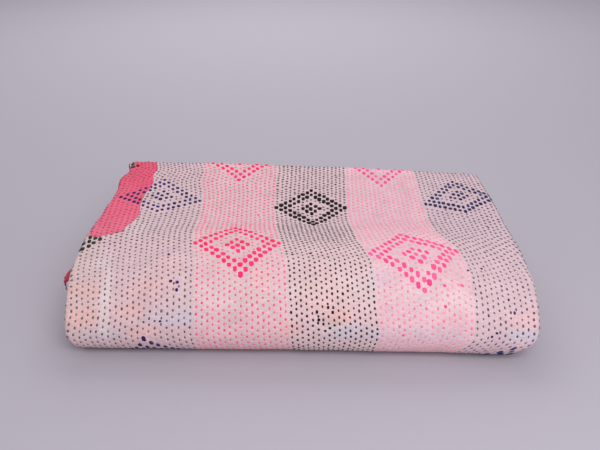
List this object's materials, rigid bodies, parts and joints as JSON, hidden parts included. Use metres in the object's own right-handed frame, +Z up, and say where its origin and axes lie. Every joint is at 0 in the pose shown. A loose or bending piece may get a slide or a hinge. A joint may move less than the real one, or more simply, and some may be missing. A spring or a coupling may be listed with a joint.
{
  "type": "folded kantha quilt",
  "caption": "Hand-stitched cotton quilt folded into a soft thick pile, with bands of coloured running stitches and small diamonds.",
  "frame": {"origin": "middle of the pile's bounding box, on the surface it lies on", "axes": "+Z up, +X to the right along the front fold, -Y towards the big front fold"},
  "size_m": [0.4428, 0.305, 0.0813],
  "materials": {
    "cotton": "soft matte hand-stitched cotton"
  },
  "bodies": {
    "root": {"quilt": "cotton"}
  },
  "joints": []
}
